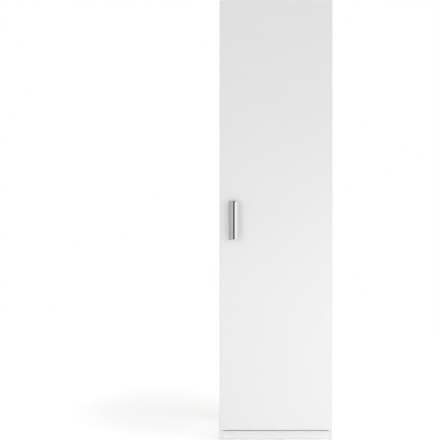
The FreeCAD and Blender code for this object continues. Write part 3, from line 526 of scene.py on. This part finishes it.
def cap_tree():
    """A round snap-in cap with a low crown, a ring groove and a soft rim."""
    cap = Growth("cam_cap", ("Radius", "Height"))
    given = cap.given
    half_height = cap.reckon("MULTIPLY", given["Height"], 0.5)
    blank = cap.lifted(cap.cylinder(CAP_SIDES, given["Radius"], given["Height"], CAP_RINGS), half_height)
    parts = cap.parts(cap.position())
    out = cap.length(cap.joined_parts(X=parts["X"], Y=parts["Y"]))
    profile = cap.node("ShaderNodeFloatCurve", {"Value": cap.reckon("DIVIDE", out, given["Radius"])})
    curve = profile.mapping.curves[0]
    while len(curve.points) < len(CAP_PROFILE):
        curve.points.new(0.5, 0.5)
    for point, stop in zip(curve.points, CAP_PROFILE):
        point.location = stop
        point.handle_type = "VECTOR"
    profile.mapping.update()
    height = cap.reckon("MULTIPLY", profile.outputs[0], given["Height"])
    crown = cap.joined_parts(X=parts["X"], Y=parts["Y"], Z=height)
    upper = cap.reckon("GREATER_THAN", parts["Z"], half_height)
    inputs = {"Geometry": blank, "Selection": upper, "Position": crown}
    shaped = cap.node("GeometryNodeSetPosition", inputs).outputs[0]
    cap.hand_over(cap.set_at(given["Places"], shaped), WHITE_PLASTIC)
    return cap


def drive_nails():
    """The back panel's nails, each with its head in the plane of the panel."""
    nails = boxes_in("back_panel_nails")
    places = [((low.x + high.x) / 2, high.y, (low.z + high.z) / 2) for low, high in nails]
    low, high = nails[0]
    sizes = {
        "Head Radius": (high.x - low.x) / 2,
        "Head Height": NAIL_HEAD_HEIGHT,
        "Shank Radius": NAIL_SHANK_RADIUS,
        "Length": high.y - low.y,
        "Point": NAIL_POINT,
        "Pitch": WAFFLE_PITCH,
        "Depth": WAFFLE_DEPTH,
        "Sink": WAFFLE_SINK,
    }
    piece = grown(nail_tree(), "waffle_nails", places, sizes)
    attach(piece, "carcass")
    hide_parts("back_panel_nails")


def press_caps():
    """The caps over the cam locks, on the upper faces of the top panel and the fixed shelf."""
    caps = boxes_in("cam_covers")
    places = [((low.x + high.x) / 2, (low.y + high.y) / 2, low.z) for low, high in caps]
    low, high = caps[0]
    sizes = {"Radius": (high.x - low.x) / 2, "Height": high.z - low.z}
    piece = grown(cap_tree(), "cam_caps", places, sizes)
    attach(piece, "carcass")
    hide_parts("cam_covers")


drive_nails()
press_caps()

# Floor, lifted to white where it is seen, apart from soft shades beside and before the cupboard

FLOOR_SIZE = 12.0
FLOOR_COLOUR = (0.900, 0.900, 0.900, 1.0)
FLOOR_LIFT = 0.36
SHADES = [
    {"middle": (-0.60, 0.35, 0.0), "squeeze": (1.0, 0.5, 1.0), "core": 0.1, "edge": 0.6, "drop": 0.10},
    {"middle": (0.00, -0.40, 0.0), "squeeze": (0.9, 1.0, 1.0), "core": 0.1, "edge": 0.5, "drop": 0.24},
]

# The dark strip round the camera, which only metal shows
CAMERA_DARK = {
    "middle": (-0.17, -3.4, 0.0), "squeeze": (8.0, 1.0, 1.0), "core": 2.4, "edge": 2.9, "drop": 0.93,
}


def seen_directly(tree):
    """1 for what is seen straight, through glass or in metal, and 0 for light on other surfaces."""
    path = tree.node("ShaderNodeLightPath").outputs
    straight = tree.reckon("MAXIMUM", path["Is Camera Ray"], path["Is Glossy Ray"])
    return tree.reckon("MAXIMUM", straight, path["Is Transmission Ray"])


def clear_of_cupboard(tree, place):
    """0 on the floor under the cupboard, where it is dark, and 1 elsewhere."""
    low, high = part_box("bottom_panel")
    parts = tree.parts(tree.combine("SUBTRACT", place, tuple((low + high) / 2)))
    past_side = tree.reckon("GREATER_THAN", tree.reckon("ABSOLUTE", parts["X"]), (high.x - low.x) / 2)
    past_end = tree.reckon("GREATER_THAN", tree.reckon("ABSOLUTE", parts["Y"]), (high.y - low.y) / 2)
    return tree.reckon("MAXIMUM", past_side, past_end)


def shade(tree, place, middle, squeeze, core, edge, drop):
    """A soft round patch: drop in its core, fading to 0 at its edge."""
    offset = tree.combine("SUBTRACT", place, middle)
    away = tree.length(tree.combine("MULTIPLY", offset, squeeze))
    return tree.level(away, low=drop, high=0.0, start=core, end=edge, way="SMOOTHSTEP")


def floor_paint():
    """Matt pale paint with the lift, the shades and the dark strip."""
    material = bpy.data.materials.new("floor_paint")
    material.use_nodes = True
    material.node_tree.nodes.clear()
    paint = Nodes(material.node_tree)
    matt = paint.node("ShaderNodeBsdfDiffuse", {"Color": FLOOR_COLOUR})
    place = paint.node("ShaderNodeTexCoord").outputs["Object"]
    level = paint.reckon("MULTIPLY", clear_of_cupboard(paint, place), FLOOR_LIFT)
    for setting in SHADES:
        level = paint.reckon("SUBTRACT", level, shade(paint, place, **setting))
    shown = paint.reckon("MULTIPLY", seen_directly(paint), paint.reckon("MAXIMUM", level, 0.0))
    lift = paint.node("ShaderNodeEmission", {"Strength": shown})
    both = paint.node("ShaderNodeAddShader", {0: matt.outputs[0], 1: lift.outputs[0]})
    in_metal = paint.node("ShaderNodeLightPath").outputs["Is Glossy Ray"]
    darkened = paint.reckon("MULTIPLY", in_metal, shade(paint, place, **CAMERA_DARK))
    surface = paint.node("ShaderNodeMixShader", {0: darkened, 1: both.outputs[0]})
    paint.node("ShaderNodeOutputMaterial", {"Surface": surface.outputs[0]})
    return material


def lay_floor():
    """A pale floor that keeps the cupboard's shadow and runs out into a white background."""
    mesh = bpy.data.meshes.new("floor")
    shape = bmesh.new()
    bmesh.ops.create_grid(shape, x_segments=1, y_segments=1, size=FLOOR_SIZE / 2)
    shape.to_mesh(mesh)
    shape.free()
    floor = bpy.data.objects.new("floor", mesh)
    scene.collection.objects.link(floor)
    mesh.materials.append(floor_paint())


# Light

DOME_LEVEL = 0.70
FULL_LEVEL = 1.0
NO_BOUNCE = 0.0
FULL_TURN = 360.0

# What metal mirrors: the surround's level at each turn from the front, in degrees to the right
STUDIO = [
    (-180, 1.00), (-105, 0.85), (-75, 0.54), (-36, 0.53), (-27, 0.68), (-13, 0.68), (-8, 0.07), (11, 0.07),
    (15, 1.10), (40, 1.10), (47, 0.84), (75, 0.92), (105, 0.95), (180, 1.00),
]

# Soft lamps: places and sizes in metres, power in watts, spread of the beam in degrees
WIDE = 180.0
NARROW = 50.0
LAMPS = {
    "high_lamp": {
        "place": (3.2, -1.2, 2.6), "aim": (0.0, 0.0, 0.4), "size": 1.6, "power": 23.4, "spread": WIDE,
    },
    "left_lamp": {
        "place": (-2.6, -2.6, 1.9), "aim": (0.0, -0.2, 1.2), "size": 1.8, "power": 16.0, "spread": WIDE,
    },
    "front_lamp": {
        "place": (0.3, -3.2, 0.4), "aim": (0.0, -0.2, 0.4), "size": 1.4, "power": 9.0, "spread": WIDE,
    },
    "right_lamp": {
        "place": (1.7, -1.6, 0.3), "aim": (0.0, -0.2, 0.3), "size": 1.2, "power": 8.5, "spread": WIDE,
    },
    "low_lamp": {
        "place": (0.3, -3.2, 0.5), "aim": (0.0, -0.2, 0.1), "size": 1.0, "power": 0.8, "spread": NARROW,
    },
}


def light_studio():
    """An even dome, a white background, and a surround of pale and dark parts that metal mirrors.

    The light that metal throws on to the boards comes from an even white surround instead.
    """
    world = bpy.data.worlds.new("studio")
    scene.world = world
    world.use_nodes = True
    world.node_tree.nodes.clear()
    sky = Nodes(world.node_tree)
    way = sky.parts(sky.node("ShaderNodeTexCoord").outputs["Generated"])
    turn = sky.reckon("ARCTAN2", way["X"], sky.reckon("MULTIPLY", way["Y"], -1.0))
    share = sky.level(turn, low=0.0, high=1.0, start=-math.pi, end=math.pi)
    stops = [(degrees / FULL_TURN + 0.5, (level, level, level, 1.0)) for degrees, level in STUDIO]
    path = sky.node("ShaderNodeLightPath").outputs
    thrown = sky.reckon("GREATER_THAN", path["Diffuse Depth"], NO_BOUNCE)
    surround = sky.blend(thrown, sky.ramp(share, stops), WHITE)
    dome = sky.node("ShaderNodeBackground", {"Color": WHITE, "Strength": DOME_LEVEL})
    mirrored = sky.node("ShaderNodeBackground", {"Color": surround, "Strength": FULL_LEVEL})
    white = sky.node("ShaderNodeBackground", {"Color": WHITE, "Strength": FULL_LEVEL})
    lit = sky.node(
        "ShaderNodeMixShader", {0: path["Is Glossy Ray"], 1: dome.outputs[0], 2: mirrored.outputs[0]}
    )
    clear = sky.reckon("MAXIMUM", path["Is Camera Ray"], path["Is Transmission Ray"])
    seen = sky.node("ShaderNodeMixShader", {0: clear, 1: lit.outputs[0], 2: white.outputs[0]})
    sky.node("ShaderNodeOutputWorld", {"Surface": seen.outputs[0]})


def hang_lamp(name, place, aim, size, power, spread):
    """A square soft lamp at a place, turned to a point."""
    lamp = bpy.data.lights.new(name, "AREA")
    lamp.shape = "SQUARE"
    lamp.size = size
    lamp.energy = power
    lamp.spread = math.radians(spread)
    hung = bpy.data.objects.new(name, lamp)
    hung.location = place
    hung.visible_glossy = False
    hung.visible_camera = False
    hung.rotation_euler = (Vector(aim) - Vector(place)).to_track_quat("-Z", "Y").to_euler()
    scene.collection.objects.link(hung)


# Camera, in metres; its sensor and lens are set in millimetres

MILLIMETRES = 1000.0
SENSOR = 0.036
VIEW_SPAN = 1.9465
VIEW_MIDDLE_X = -0.2488
VIEW_MIDDLE_Z = 0.975
CAMERA_AWAY = 4.0


def set_camera():
    """A level camera straight in front, in line with the cupboard's left side and half its height."""
    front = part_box("door_panel")[0].y
    lens = bpy.data.cameras.new("camera")
    lens.sensor_width = SENSOR * MILLIMETRES
    lens.lens = SENSOR * MILLIMETRES * CAMERA_AWAY / VIEW_SPAN
    camera = bpy.data.objects.new("camera", lens)
    camera.location = (VIEW_MIDDLE_X, front - CAMERA_AWAY, VIEW_MIDDLE_Z)
    camera.rotation_euler = (QUARTER_TURN, 0.0, 0.0)
    scene.collection.objects.link(camera)
    scene.camera = camera


lay_floor()
light_studio()
for name, setting in LAMPS.items():
    hang_lamp(name, **setting)
set_camera()
